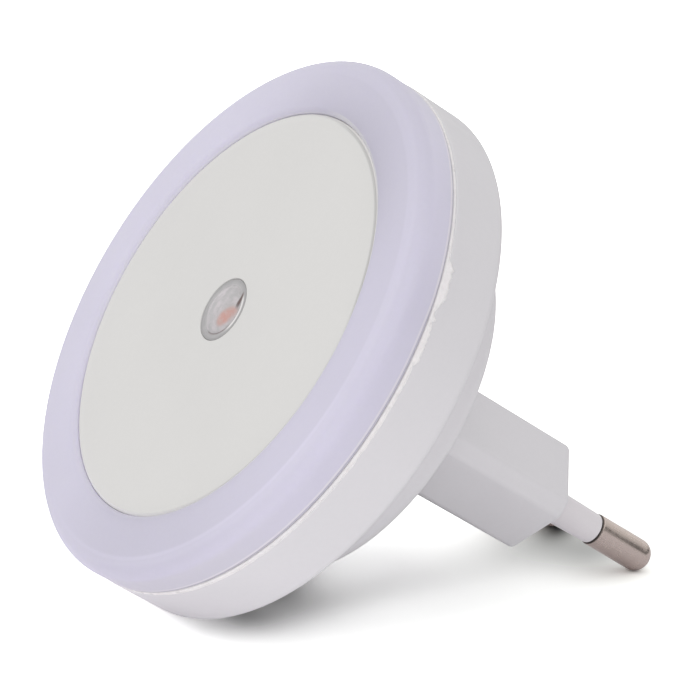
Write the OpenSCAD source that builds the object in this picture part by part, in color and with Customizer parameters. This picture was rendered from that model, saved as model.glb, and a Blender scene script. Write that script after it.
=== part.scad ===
// Round plug-in night light with a dusk sensor and a flat two-pin plug.
// +Z is up on the wall, the lit face looks along -Y and the pins point along +Y.
// The origin is the middle of the plug's engagement face, half way between the pins.

/* [Head] */
// Distance from the plug face forward to the front of the centre disc
head_front = 43.4; // [42:0.1:46]
// Outer radius of the opal ring
ring_r = 33.05; // [32.9:0.05:33.3]
// Radius of the rounded shoulder on the opal ring
ring_shoulder = 1.8; // [1.4:0.1:2.4]
// Radius of the flat centre disc
disc_r = 25.6; // [25:0.1:25.8]
// Thickness of the centre disc
disc_t = 1.6; // [1.4:0.1:1.7]
// Radius of the clear window of the light sensor
window_r = 3.9; // [3.7:0.1:4]
// How far the window sits to the right of the disc's middle
sensor_x = -0.1; // [-0.5:0.05:0.5]
// How far the window sits above the disc's middle
sensor_z = 0.25; // [-0.5:0.05:0.5]

/* [Housing] */
// Outer radius of the rear housing's wall
wall_r = 33.15; // [33:0.05:33.4]
// Depth of the housing's rear edge behind the disc's face
wall_back = 12.4; // [12:0.1:13.5]
// Radius of the stepped boss on the back
boss_r = 23.7; // [23:0.1:25]
// Depth of the boss's rear face behind the disc's face
boss_back = 21.3; // [21:0.1:23]
// Wall thickness of the mouldings
wall_t = 1.9; // [1.7:0.1:2]
// Radius of the rounding on the housing's rear edge
rear_round = 0.8; // [0.4:0.1:1.2]
// Radius of the rounding on the boss's rear edge
boss_round = 1.5; // [0.8:0.1:2]

/* [Plug] */
// Width of the plug stem across its flat ends
stem_w = 34.5; // [34:0.1:36]
// Thickness of the plug stem
stem_h = 13.7; // [13.2:0.1:13.9]
// How far each sloping edge of the stem reaches in from the end flat
stem_slope = 5.2; // [4.2:0.1:5.6]
// Height of the stem's end flat
stem_end = 2.2; // [2:0.1:4.5]
// Rounding along the stem's long edges
stem_round = 1.1; // [0.8:0.1:1.4]
// Distance between the pin axes
pin_gap = 19; // [18.6:0.1:19.2]
// Length of each pin from the plug face to its tip
pin_len = 19.6; // [19:0.1:20]
// Radius of the bare metal of a pin
pin_r = 2; // [1.97:0.01:2.03]
// Length of the insulating sleeve from the plug face
sleeve_len = 10.3; // [10:0.1:11]

/* [Electronics] */
// Radius of the circuit board
board_r = 30.6; // [30:0.1:30.8]
// Number of light emitting diodes on the board
led_count = 8; // [6:1:12]
// Radius of the circle that the diodes sit on
led_circle = 28.8; // [28.4:0.1:29]
// Distance of the board screws from the middle
screw_z = 17.8; // [17.2:0.1:18]

/* [Hidden] */
$fn = 40;

front = -head_front;                      // y of the disc's face
ring_lip = front - 0.45;                  // y of the ring's inner lip
ring_in = disc_r + 0.08;                  // inner radius of the ring round the disc
ring_web = 27.5;                          // outer radius of the ring's inner wall
tip_round = 1.6;                          // rounding on a pin's tip
crown_r = 25;                             // gentle crown of the ring's face
crown_x = 27.6;
crown_y = front - 0.5 + crown_r;
shoulder_x = ring_r - ring_shoulder;
shoulder_y = crown_y - sqrt(pow(crown_r - ring_shoulder, 2) - pow(shoulder_x - crown_x, 2));
shoulder_touch = crown_x + crown_r * (shoulder_x - crown_x) / (crown_r - ring_shoulder);
skirt_end = front + 4.4;                  // y where the ring's skirt ends
rim_start = front + 4.8;                  // y where the housing's rim starts
rebate_r = wall_r - 1.0;                  // inner radius of the rim's rebate
rebate_end = front + 7.1;
tongue_in = wall_r - wall_t + 0.1;        // the ring's tongue inside the rim
board_front = front + 8.2;
board_back = board_front + 1.2;
plate_in = front + wall_back - 2;         // inner face of the housing's rear plate
floor_in = front + boss_back - 2;         // inner face of the boss's rear wall
boss_end = front + boss_back;
stem_wall = 1.8;
plug_wall = 2.5;
cell_y = front + 0.35;                    // front of the photocell

// Turns a shape drawn along +Z so that it runs along +Y.
module along_y() { rotate([-90, 0, 0]) children(); }

// A straight round bar from y0 to y1.
module bar(r, y0, y1) { translate([0, y0, 0]) along_y() cylinder(r = r, h = y1 - y0); }

// A block of the given size whose near face is at y0, centred on x and z.
module block(x, z, sx, sz, y0, y1) { translate([x - sx / 2, y0, z - sz / 2]) cube([sx, y1 - y0, sz]); }

// What comes off a square profile corner at (x, y) to round it, with the solid lying towards (dx, dy).
module corner_off(x, y, r, dx, dy) {
    e = 0.05;
    difference() {
        translate([dx > 0 ? x - e : x - r, dy > 0 ? y - e : y - r]) square([r + e, r + e]);
        translate([x + dx * r, y + dy * r]) circle(r);
    }
}

// Half outline of the stem's section, inset by d, as the centres of its rounded corners.
function stem_line(d) =
    let (w = stem_w / 2, h = stem_h / 2, f = stem_end / 2, k = w - stem_slope,
         n = sqrt(pow(h - f, 2) + pow(w - k, 2)), a = (h - f) / n, b = (w - k) / n)
    [[w - d, f - d * (1 - a) / b], [k - d * (1 - b) / a, h - d]];

// The stem's section, inset by d, with its eight edges rounded by r.
module stem_section(d, r) {
    p = stem_line(d + r);
    q = [p[0], p[1], [-p[1][0], p[1][1]], [-p[0][0], p[0][1]],
         [-p[0][0], -p[0][1]], [-p[1][0], -p[1][1]], [p[1][0], -p[1][1]], [p[0][0], -p[0][1]]];
    function out(i) = let (u = q[(i + 1) % 8] - q[i % 8]) [u[1], -u[0]] / norm(u);
    polygon([for (i = [0 : 7], s = [7, 8]) q[i] + r * out((i + s) % 8)]);
    for (c = q) translate(c) circle(r);
}

// Puts its children on the sensor window's axis.
module at_sensor() { translate([sensor_x, 0, sensor_z]) children(); }

// Puts its children on one pin's axis.
module at_pin(side) { translate([side * pin_gap / 2, 0, 0]) children(); }

module ring_outer() {
    intersection() {
        translate([crown_x, crown_y]) circle(crown_r, $fn = 180);
        translate([ring_in, ring_lip - 1]) square([shoulder_touch - ring_in, 5]);
    }
    intersection() {
        translate([shoulder_x, shoulder_y]) circle(ring_shoulder);
        translate([shoulder_x - 5, skirt_end - 9]) square([10, 9]);
    }
    translate([shoulder_x - 1, shoulder_y]) square([ring_r - shoulder_x + 1, skirt_end - shoulder_y]);
}

module ring_hollow() {
    difference() {
        intersection() {
            translate([crown_x, crown_y]) circle(crown_r - 1.9, $fn = 180);
            translate([ring_web, front]) square([ring_r - 1.9 - ring_web, 8]);
        }
        corner_off(ring_r - 1.9, front + 1.6, 0.5, -1, 1);
    }
}

// Opal ring: crowned face, rounded shoulder, skirt, tongue for the housing and a ledge for the disc.
module diffuser_ring() {
    color([0.81, 0.8, 0.87]) along_y() rotate_extrude($fn = 90) {
        difference() {
            ring_outer();
            ring_hollow();
            corner_off(ring_in, ring_lip - 0.02, 0.7, 1, 1);
            corner_off(ring_r, skirt_end, 0.25, -1, -1);
            translate([20, front + 2.8]) square([ring_web + 0.5 - 20, 3]);
        }
        translate([23.2, front + disc_t]) square([ring_web - 23.2, 1.2]);
        translate([ring_in, front + 0.5]) square([ring_web - ring_in, 2.3]);
        translate([tongue_in, skirt_end - 0.5]) square([rebate_r - 0.05 - tongue_in, 2.7]);
    }
}

// Opaque front disc with a bevelled edge and the stepped hole for the sensor window.
module centre_disc() {
    color([0.86, 0.85, 0.84]) difference() {
        along_y() rotate_extrude($fn = 90)
            polygon([[0, front], [disc_r - 0.35, front], [disc_r, front + 0.25], [disc_r, front + disc_t], [0, front + disc_t]]);
        at_sensor() along_y() rotate_extrude($fn = 64) {
            translate([0, front - 1]) square([window_r + 0.05, disc_t + 2]);
            translate([0, front + 0.9]) square([window_r + 0.75, disc_t]);
            corner_off(window_r + 0.05, front, 0.2, 1, 1);
        }
    }
}

// Clear window: a flange behind the disc, a low dome that stands slightly proud and a pocket for the photocell.
module sensor_lens() {
    dome_r = 5.4;
    color([0.85, 0.87, 0.88, 0.5]) at_sensor() along_y() rotate_extrude($fn = 64) difference() {
        union() {
            translate([0, front + 0.95]) square([window_r + 0.65, 0.6]);
            translate([0, front + 0.05]) square([window_r, 1.2]);
            intersection() {
                translate([0, front - 0.85 + dome_r]) circle(dome_r);
                translate([0, front - 0.9]) square([3.1, 1.5]);
            }
        }
        corner_off(window_r, front + 0.05, 0.25, -1, 1);
        translate([-1, cell_y - 0.05]) square([3.55, 2]);
    }
}

// Photocell: a small round ceramic body with a flat on two sides.
module photocell() {
    color([0.83, 0.62, 0.5]) at_sensor() intersection() {
        bar(2.5, cell_y, cell_y + 1.8);
        block(0, 0, 4.3, 6, cell_y - 1, cell_y + 3);
    }
}

module photocell_leads() {
    color([0.75, 0.75, 0.74]) at_sensor() for (z = [-1.7, 1.7])
        translate([0, 0, z]) bar(0.25, cell_y + 1.8, board_front);
}

// Tube that keeps the lamp's own light off the photocell.
module sensor_shroud() {
    color([0.7, 0.7, 0.7]) at_sensor() difference() {
        bar(5.7, front + disc_t, board_front);
        bar(4.7, front, board_front + 1);
    }
}

module led_board() {
    color([0.9, 0.91, 0.88]) difference() {
        bar(board_r, board_front, board_back, $fn = 90);
        for (s = [-1, 1]) translate([0, 0, s * screw_z]) bar(1.25, board_front - 1, board_back + 1);
    }
}

// The diodes: one flat package with a phosphor window each, spread round the board.
module leds() {
    color([0.95, 0.9, 0.55]) for (i = [0 : led_count - 1])
        rotate([0, (i + 0.5) * 360 / led_count, 0])
            block(led_circle, 0, 2.8, 3.5, board_front - 0.75, board_front);
}

// Small three-legged package.
module control_transistor() {
    color([0.15, 0.15, 0.16]) {
        block(12.5, 6.5, 2.9, 1.3, board_back + 0.1, board_back + 1.1);
        for (x = [-0.95, 0, 0.95]) block(12.5 + x, 6.5 + (x == 0 ? 0.9 : -0.9), 0.4, 0.6, board_back, board_back + 0.35);
    }
}

module chip_resistors() {
    color([0.12, 0.12, 0.13]) for (p = [[-12.5, 1.5], [-12.5, 4.5], [-12.5, 7.5], [12.5, 1.2], [12.5, 3.6]])
        block(p[0], p[1], 3.2, 1.6, board_back, board_back + 0.55);
}

// Round body lying on the board, with its two bent legs.
module fusible_resistor() {
    y = board_back + 1.9;
    color([0.45, 0.6, 0.5]) {
        translate([12.5, y, -11.5]) cylinder(r = 1.6, h = 8);
        for (z = [-13, -2.5]) {
            translate([12.5, 0, z]) bar(0.3, board_back, y);
            translate([12.5, y, z]) sphere(0.3, $fn = 24);
        }
        translate([12.5, y, -13]) cylinder(r = 0.3, h = 10.5);
    }
}

module film_capacitor() {
    color([0.8, 0.68, 0.2]) block(0, 9.8, 13, 5.5, board_back, board_back + 9);
}

// Standing can with a rolled groove near its base.
module smoothing_capacitor() {
    color([0.15, 0.16, 0.2]) translate([-12, board_back, -8.5]) along_y() rotate_extrude() difference() {
        square([3.15, 9]);
        translate([3.5, 1.6]) circle(0.6);
    }
}

module bridge_rectifier() {
    color([0.13, 0.13, 0.14]) block(0, -9.5, 8.4, 6.4, board_back, board_back + 3.2);
}

// One insulated wire that runs back from a pin to the board with a gentle bend each way.
module wire(a, b, bow) {
    rings = 16;
    sides = 10;
    function at(t) = let (s = t * t * (3 - 2 * t))
        [a[0] + (b[0] - a[0]) * s + bow * sin(360 * t), a[1] + (b[1] - a[1]) * t, a[2] + (b[2] - a[2]) * s + bow * sin(180 * t)];
    polyhedron(
        points = [for (i = [0 : rings], j = [0 : sides - 1])
            at(i / rings) + 0.75 * [cos(360 * j / sides), 0, sin(360 * j / sides)]],
        faces = concat(
            [[for (j = [0 : sides - 1]) j]],
            [for (i = [0 : rings - 1], j = [0 : sides - 1])
                let (k = (j + 1) % sides)
                [i * sides + j, (i + 1) * sides + j, (i + 1) * sides + k, i * sides + k]],
            [[for (j = [sides - 1 : -1 : 0]) rings * sides + j]]));
}

module live_wire() {
    color([0.45, 0.28, 0.18]) wire([pin_gap / 2, -plug_wall - 5.05, 0], [7, board_back, 1.6], 0.5);
}

module neutral_wire() {
    color([0.25, 0.38, 0.6]) wire([-pin_gap / 2, -plug_wall - 5.05, 0], [-7, board_back, -1.6], -0.5);
}

// Two self-tapping screws with domed heads and a slot cross.
module board_screws() {
    color([0.7, 0.7, 0.71]) for (s = [-1, 1]) translate([0, 0, s * screw_z]) difference() {
        union() {
            bar(1.08, board_front - 0.2, board_front + 6.5);
            intersection() {
                bar(2.1, board_front - 1.3, board_front);
                translate([0, board_front + 1.6, 0]) sphere(2.95);
            }
        }
        block(0, 0, 2.4, 0.5, board_front - 2, board_front - 0.7);
        block(0, 0, 0.5, 2.4, board_front - 2, board_front - 0.7);
    }
}

module housing_profile() {
    difference() {
        union() {
            translate([wall_r - wall_t, rim_start]) square([wall_t, wall_back + front - rim_start]);
            translate([boss_r - wall_t, plate_in]) square([wall_r - boss_r + wall_t, 2]);
            translate([boss_r - wall_t, plate_in]) square([wall_t, boss_end - plate_in]);
            translate([0, floor_in]) square([boss_r, 2]);
            translate([boss_r - 0.1, plate_in + 1.5]) square([0.6, 1]);
        }
        translate([0, rim_start - 1]) square([rebate_r, rebate_end - rim_start + 1]);
        corner_off(wall_r, rim_start, 0.5, -1, 1);
        corner_off(wall_r, front + wall_back, rear_round, -1, -1);
        corner_off(boss_r, boss_end, boss_round, -1, -1);
        translate([boss_r + 0.5, plate_in + 2.5]) circle(0.5);
    }
}

// Rear housing: rim, rear plate, boss and hollow plug stem in one moulding, with two screw posts.
module rear_housing() {
    color([0.87, 0.86, 0.86]) difference() {
        union() {
            along_y() rotate_extrude($fn = 90) housing_profile();
            translate([0, boss_end - 0.5, 0]) along_y() linear_extrude(0.5 - boss_end) stem_section(0, stem_round);
            for (s = [-1, 1]) translate([0, 0, s * screw_z]) bar(2.6, board_back, floor_in + 1);
            for (a = [0, 60, 120, 180, 240, 300]) rotate([0, a + 30, 0])
                block(27, 0, 1.6, 1.6, board_back, plate_in + 1);
        }
        translate([0, floor_in - 1, 0]) along_y() linear_extrude(1 - floor_in - plug_wall) stem_section(stem_wall, 0.5);
        for (s = [-1, 1]) {
            translate([0, 0, s * screw_z]) bar(1.1, board_back - 1, board_front + 7.2);
            at_pin(s) bar(2.12, -plug_wall - 1, 1);
        }
    }
}

// Welded bead that closes the groove between the ring's skirt and the housing's rim.
module seam_weld() {
    color([0.91, 0.89, 0.9]) along_y() rotate_extrude($fn = 90)
        translate([rebate_r, skirt_end]) square([0.55, rim_start - skirt_end]);
}

// Insulating block that locks the pin collars inside the stem.
module pin_retainer() {
    color([0.8, 0.8, 0.78]) difference() {
        translate([0, -plug_wall - 4.5, 0]) along_y() linear_extrude(4.5) stem_section(stem_wall + 0.1, 0.5);
        for (s = [-1, 1]) at_pin(s) {
            bar(1.35, -9, 0);
            bar(2.7, -plug_wall - 1.3, 0);
        }
    }
}

// Half section of the bare metal of a pin, with its rounded tip and a broken edge at the sleeve.
module pin_profile() {
    difference() {
        translate([0, sleeve_len + 0.05]) square([pin_r, pin_len - sleeve_len - 0.05]);
        corner_off(pin_r, sleeve_len + 0.05, 0.25, -1, 1);
        corner_off(pin_r, pin_len, tip_round, -1, -1);
    }
}

module pin(side) {
    color([0.7, 0.66, 0.62]) at_pin(side) {
        bar(0.8, -plug_wall - 5, -plug_wall - 1);
        bar(1.3, -plug_wall - 4.4, sleeve_len + 1);
        bar(2.6, -plug_wall - 1.2, -plug_wall - 0.1);
        along_y() rotate_extrude() pin_profile();
    }
}

module sleeve(side) {
    color([0.84, 0.83, 0.84]) at_pin(side) along_y() rotate_extrude()
        polygon([[1.32, 0.05 - plug_wall], [2.06, 0.05 - plug_wall], [2.06, 0.4], [1.87, sleeve_len], [1.32, sleeve_len]]);
}

module pin_left() { pin(-1); }
module pin_right() { pin(1); }
module sleeve_left() { sleeve(-1); }
module sleeve_right() { sleeve(1); }

diffuser_ring();
centre_disc();
sensor_lens();
photocell();
photocell_leads();
sensor_shroud();
led_board();
leds();
control_transistor();
chip_resistors();
fusible_resistor();
film_capacitor();
smoothing_capacitor();
bridge_rectifier();
live_wire();
neutral_wire();
board_screws();
rear_housing();
seam_weld();
pin_retainer();
pin_left();
pin_right();
sleeve_left();
sleeve_right();
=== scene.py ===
import math

import bmesh
import bpy
from mathutils import Matrix, Vector, noise


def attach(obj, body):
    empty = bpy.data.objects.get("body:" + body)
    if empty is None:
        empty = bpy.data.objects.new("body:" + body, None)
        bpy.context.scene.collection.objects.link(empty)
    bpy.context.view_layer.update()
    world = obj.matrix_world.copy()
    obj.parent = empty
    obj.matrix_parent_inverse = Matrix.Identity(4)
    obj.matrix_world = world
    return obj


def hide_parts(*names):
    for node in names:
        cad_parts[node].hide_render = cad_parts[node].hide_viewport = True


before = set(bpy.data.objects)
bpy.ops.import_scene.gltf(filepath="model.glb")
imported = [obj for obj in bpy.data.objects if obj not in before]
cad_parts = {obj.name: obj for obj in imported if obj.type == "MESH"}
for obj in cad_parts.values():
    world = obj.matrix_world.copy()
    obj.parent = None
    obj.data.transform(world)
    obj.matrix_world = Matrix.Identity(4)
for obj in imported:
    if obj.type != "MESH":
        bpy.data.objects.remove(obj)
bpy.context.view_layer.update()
scene = bpy.context.scene
MM = 0.001

# Sizes of the part, in millimetres, as in the CAD source
HEAD = 43.4
FRONT = -HEAD
RING_R, SHOULDER = 33.05, 1.8
DISC_R, DISC_T = 25.6, 1.6
WINDOW_R = 3.9
SENSOR_X, SENSOR_Z = -0.1, 0.25
WALL_R, WALL_BACK, WALL_T = 33.15, 12.4, 1.9
BOSS_R, BOSS_BACK = 23.7, 21.3
STEM_W, STEM_H, STEM_SLOPE, STEM_END, STEM_ROUND = 34.5, 13.7, 5.2, 2.2, 1.1
PIN_X, PIN_LEN, PIN_R = 9.5, 19.6, 2.0
SLEEVE_LEN = 10.3

# ---------------------------------------------------------------- camera
# Fitted to the photograph: where it stands and how it is turned, in the part's frame
cam_data = bpy.data.cameras.new("camera")
cam_data.sensor_width = 36.0
cam_data.lens = 180.0
cam_data.clip_start = 0.01
cam_data.clip_end = 20.0
cam = bpy.data.objects.new("camera", cam_data)
scene.collection.objects.link(cam)
right = Vector((0.47295788, 0.7264327, 0.49860442)).normalized()
back = Vector((0.84747165, -0.52988264, -0.03187762))
back = (back - right * back.dot(right)).normalized()
up = back.cross(right)
cam.matrix_world = Matrix((
    (right.x, up.x, back.x, 0.34631116),
    (right.y, up.y, back.y, -0.24245017),
    (right.z, up.z, back.z, -0.00929486),
    (0, 0, 0, 1)))
scene.camera = cam
scene.view_settings.view_transform = "Standard"
scene.view_settings.look = "None"

# ---------------------------------------------------------------- node helpers


def material(name):
    m = bpy.data.materials.new(name)
    m.use_nodes = True
    t = m.node_tree
    t.nodes.clear()
    return m, t


def add(t, kind, **inputs):
    n = t.nodes.new(kind)
    for k, v in inputs.items():
        if k.startswith("_"):
            setattr(n, k[1:], v)
    return n


def put(t, socket, value):
    """Links a node output, or sets a plain value."""
    if isinstance(value, bpy.types.NodeSocket):
        t.links.new(value, socket)
    else:
        socket.default_value = value


def math_node(t, op, a, b=None, c=None, clamp=False):
    n = t.nodes.new("ShaderNodeMath")
    n.operation = op
    n.use_clamp = clamp
    for i, v in enumerate((a, b, c)):
        if v is not None:
            put(t, n.inputs[i], v)
    return n.outputs[0]


def vmath(t, op, a, b=None, scale=None):
    n = t.nodes.new("ShaderNodeVectorMath")
    n.operation = op
    put(t, n.inputs[0], a)
    if b is not None:
        put(t, n.inputs[1], b)
    if scale is not None:
        put(t, n.inputs[3], scale)
    return n.outputs["Value"] if op in ("DOT_PRODUCT", "LENGTH", "DISTANCE") else n.outputs["Vector"]


def span(t, value, a, b, lo=0.0, hi=1.0, smooth=True):
    n = t.nodes.new("ShaderNodeMapRange")
    n.interpolation_type = "SMOOTHSTEP" if smooth else "LINEAR"
    n.clamp = True
    put(t, n.inputs["Value"], value)
    for k, v in (("From Min", a), ("From Max", b), ("To Min", lo), ("To Max", hi)):
        put(t, n.inputs[k], v)
    return n.outputs["Result"]


def mix(t, fac, a, b, kind="MIX"):
    n = t.nodes.new("ShaderNodeMix")
    n.data_type = "RGBA"
    n.blend_type = kind
    put(t, n.inputs[0], fac)
    put(t, n.inputs[6], a if isinstance(a, bpy.types.NodeSocket) else (*a[:3], 1.0))
    put(t, n.inputs[7], b if isinstance(b, bpy.types.NodeSocket) else (*b[:3], 1.0))
    return n.outputs[2]


def noise_tex(t, scale, detail=3.0, rough=0.5, vector=None, distortion=0.0):
    n = t.nodes.new("ShaderNodeTexNoise")
    n.inputs["Scale"].default_value = scale
    n.inputs["Detail"].default_value = detail
    n.inputs["Roughness"].default_value = rough
    n.inputs["Distortion"].default_value = distortion
    put(t, n.inputs["Vector"], coords(t) if vector is None else vector)
    return n.outputs["Fac"]


def coords(t):
    for n in t.nodes:
        if n.type == "TEX_COORD":
            return n.outputs["Object"]
    return t.nodes.new("ShaderNodeTexCoord").outputs["Object"]


def bump(t, height, distance, strength=1.0, normal=None):
    n = t.nodes.new("ShaderNodeBump")
    n.inputs["Distance"].default_value = distance
    n.inputs["Strength"].default_value = strength
    put(t, n.inputs["Height"], height)
    if normal is not None:
        put(t, n.inputs["Normal"], normal)
    return n.outputs["Normal"]


def finish_shader(t, shader):
    out = t.nodes.new("ShaderNodeOutputMaterial")
    t.links.new(shader, out.inputs["Surface"])


def plastic(name, color, rough=0.4, vary=0.02, tint=(1, 1, 1), grain=0.0, grain_scale=2500.0,
            peel=0.0, peel_scale=350.0, specular=0.5, coat=0.0, sss=0.0, sss_radius=(1, 1, 1), rough_vary=0.06, tone=None):
    """Moulded plastic: slow colour drift, fine spark grain, orange peel and uneven gloss."""
    m, t = material(name)
    b = t.nodes.new("ShaderNodeBsdfPrincipled")
    slow = noise_tex(t, 60.0, 2.0)
    fine = noise_tex(t, grain_scale, 2.0, 0.6)
    drift = span(t, slow, 0.3, 0.7, 0.0, 1.0)
    lo = [c * (1 - vary) for c in color]
    hi = [c * (1 + vary) * k for c, k in zip(color, tint)]
    base = mix(t, drift, lo, hi)
    speck = span(t, noise_tex(t, grain_scale * 0.6, 3.0, 0.7), 0.25, 0.75, 1 - vary * 0.8, 1 + vary * 0.8)
    col = t.nodes.new("ShaderNodeVectorMath")
    col.operation = "SCALE"
    t.links.new(base if tone is None else tone(t, base), col.inputs[0])
    t.links.new(speck, col.inputs[3])
    t.links.new(col.outputs[0], b.inputs["Base Color"])
    t.links.new(span(t, noise_tex(t, 420.0, 4.0, 0.6), 0.3, 0.7, rough - rough_vary, rough + rough_vary), b.inputs["Roughness"])
    b.inputs["Specular IOR Level"].default_value = specular
    b.inputs["IOR"].default_value = 1.49
    if coat:
        b.inputs["Coat Weight"].default_value = coat
        b.inputs["Coat Roughness"].default_value = 0.12
    if sss:
        b.inputs["Subsurface Weight"].default_value = sss
        b.inputs["Subsurface Radius"].default_value = sss_radius
        b.inputs["Subsurface Scale"].default_value = 0.001
    normal = None
    if peel:
        normal = bump(t, noise_tex(t, peel_scale, 1.5, 0.4), peel)
    if grain:
        normal = bump(t, fine, grain, normal=normal)
    if normal is not None:
        t.links.new(normal, b.inputs["Normal"])
    finish_shader(t, b.outputs["BSDF"])
    return m


def metal(name, color, rough=0.25, scratch=0.000004, axis_scale=(1, 0.04, 1), vary=0.04, grain_scale=3500.0, tone=None):
    """Drawn or plated metal: fine lines along the part, uneven polish."""
    m, t = material(name)
    b = t.nodes.new("ShaderNodeBsdfPrincipled")
    b.inputs["Metallic"].default_value = 1.0
    stretched = vmath(t, "MULTIPLY", coords(t), axis_scale)
    lines = noise_tex(t, grain_scale, 3.0, 0.6, vector=stretched)
    cloud = noise_tex(t, 500.0, 3.0, 0.6)
    base = mix(t, span(t, cloud, 0.3, 0.7), [c * (1 - vary) for c in color], [c * (1 + vary) for c in color])
    t.links.new(base if tone is None else tone(t, base), b.inputs["Base Color"])
    both = math_node(t, "ADD", span(t, lines, 0.25, 0.75, -0.05, 0.05), span(t, cloud, 0.3, 0.7, rough - 0.03, rough + 0.05))
    t.links.new(both, b.inputs["Roughness"])
    t.links.new(bump(t, lines, scratch), b.inputs["Normal"])
    finish_shader(t, b.outputs["BSDF"])
    return m


# ---------------------------------------------------------------- mesh helpers


def rounded(corners, seg=8, support=0.06):
    """A closed outline from corners (a, b, radius): arcs at the corners, with a support point just outside each arc."""
    pts = []
    n = len(corners)
    for i in range(n):
        p = Vector(corners[i][:2])
        r = corners[i][2] if len(corners[i]) > 2 else 0.0
        if r <= 0:
            pts.append((p.x, p.y))
            continue
        a = (Vector(corners[i - 1][:2]) - p).normalized()
        c = (Vector(corners[(i + 1) % n][:2]) - p).normalized()
        half = math.acos(max(-1, min(1, a.dot(c)))) / 2
        t = r / math.tan(half)
        centre = p + (a + c).normalized() * (r / math.sin(half))
        s, e = p + a * t - centre, p + c * t - centre
        sweep = math.atan2(s.x * e.y - s.y * e.x, s.dot(e))
        k = max(2, int(round(seg * abs(sweep) / (math.pi / 2))))
        pts.append(tuple(p + a * (t + support)))
        for j in range(k + 1):
            w = sweep * j / k
            v = Vector((s.x * math.cos(w) - s.y * math.sin(w), s.x * math.sin(w) + s.y * math.cos(w)))
            pts.append(tuple(centre + v))
        pts.append(tuple(p + c * (t + support)))
    return pts


def arc(cx, cy, r, a0, a1, n):
    return [(cx + r * math.cos(math.radians(a0 + (a1 - a0) * i / n)), cy + r * math.sin(math.radians(a0 + (a1 - a0) * i / n)))
            for i in range(n + 1)]


def new_object(name, bm, materials):
    bmesh.ops.recalc_face_normals(bm, faces=bm.faces)
    me = bpy.data.meshes.new(name)
    bm.to_mesh(me)
    bm.free()
    for m in materials:
        me.materials.append(m)
    o = bpy.data.objects.new(name, me)
    scene.collection.objects.link(o)
    return o


def soften(o, angle=32.0):
    """Smooth shading that keeps flats flat: corners weighted by face area, sharp edges kept."""
    me = o.data
    me.shade_smooth()
    me.set_sharp_from_angle(angle=math.radians(angle))
    mod = o.modifiers.new("weighted", "WEIGHTED_NORMAL")
    mod.mode = "FACE_AREA_WITH_ANGLE"
    mod.weight = 60
    mod.keep_sharp = True
    apply_modifiers(o)


def apply_modifiers(o):
    bpy.context.view_layer.objects.active = o
    for x in bpy.context.selected_objects:
        x.select_set(False)
    o.select_set(True)
    for mod in list(o.modifiers):
        bpy.ops.object.modifier_apply(modifier=mod.name)


def lathe_bm(profile, seg=240, wobble=None, x0=0.0, bm=None, centre=None):
    """Turns a closed outline of (radius, y) in mm round the Y axis at x0, or round centre(radius)."""
    bm = bm or bmesh.new()
    rings = []
    clean = []
    for p in profile:
        if not clean or (abs(p[0] - clean[-1][0]) + abs(p[1] - clean[-1][1])) > 1e-5:
            clean.append(p)
    if abs(clean[0][0] - clean[-1][0]) + abs(clean[0][1] - clean[-1][1]) < 1e-5:
        clean.pop()
    for i, (r, y) in enumerate(clean):
        cx, cz = (x0, 0.0) if centre is None else centre(r)
        if r < 1e-6:
            rings.append([bm.verts.new((cx * MM, y * MM, cz * MM))])
            continue
        row = []
        for j in range(seg):
            a = 2 * math.pi * j / seg
            rr, yy = (r, y) if wobble is None else wobble(r, y, a, i)
            row.append(bm.verts.new(((cx + rr * math.cos(a)) * MM, yy * MM, (cz + rr * math.sin(a)) * MM)))
        rings.append(row)
    n = len(rings)
    for i in range(n):
        a, b = rings[i], rings[(i + 1) % n]
        if len(a) == 1 and len(b) == 1:
            continue
        for j in range(seg):
            k = (j + 1) % seg
            if len(a) == 1:
                bm.faces.new((a[0], b[j], b[k]))
            elif len(b) == 1:
                bm.faces.new((a[j], a[k], b[0]))
            else:
                bm.faces.new((a[j], a[k], b[k], b[j]))
    return bm


def lathe(name, profile, mats, seg=240, wobble=None, x0=0.0, angle=32.0, centre=None):
    o = new_object(name, lathe_bm(profile, seg, wobble, x0, centre=centre), mats)
    soften(o, angle)
    return o


def section(inset, radius, n=6):
    """The stem's eight-sided outline, inset, with its corners rounded, as (x, z) in mm."""
    w, h, f = STEM_W / 2, STEM_H / 2, STEM_END / 2
    k = w - STEM_SLOPE
    length = math.hypot(h - f, w - k)
    a, b = (h - f) / length, (w - k) / length
    d = inset + radius
    c0 = (w - d, f - d * (1 - a) / b)
    c1 = (k - d * (1 - b) / a, h - d)
    q = [c0, c1, (-c1[0], c1[1]), (-c0[0], c0[1]), (-c0[0], -c0[1]), (-c1[0], -c1[1]), (c1[0], -c1[1]), (c0[0], -c0[1])]
    pts = []
    for i in range(8):
        p, before, after = Vector(q[i]), Vector(q[i - 1]), Vector(q[(i + 1) % 8])
        u, v = (p - before).normalized(), (after - p).normalized()
        s, e = math.atan2(-u.x, u.y), math.atan2(-v.x, v.y)
        while e < s:
            e += 2 * math.pi
        for j in range(n + 1):
            g = s + (e - s) * j / n
            pts.append((p.x + radius * math.cos(g), p.y + radius * math.sin(g)))
    return pts


def loft_bm(sections, bm=None, caps=True):
    """Joins outlines [(y, [(x, z)...])...] in mm, with flat ends."""
    bm = bm or bmesh.new()
    rows = [[bm.verts.new((x * MM, y * MM, z * MM)) for x, z in pts] for y, pts in sections]
    for a, b in zip(rows, rows[1:]):
        n = len(a)
        for j in range(n):
            bm.faces.new((a[j], a[(j + 1) % n], b[(j + 1) % n], b[j]))
    if caps:
        bm.faces.new(rows[0])
        bm.faces.new(list(reversed(rows[-1])))
    return bm


def boolean(o, other, operation):
    mod = o.modifiers.new("bool", "BOOLEAN")
    mod.operation = operation
    mod.solver = "EXACT"
    mod.object = other
    apply_modifiers(o)
    bpy.data.objects.remove(other)


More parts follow.
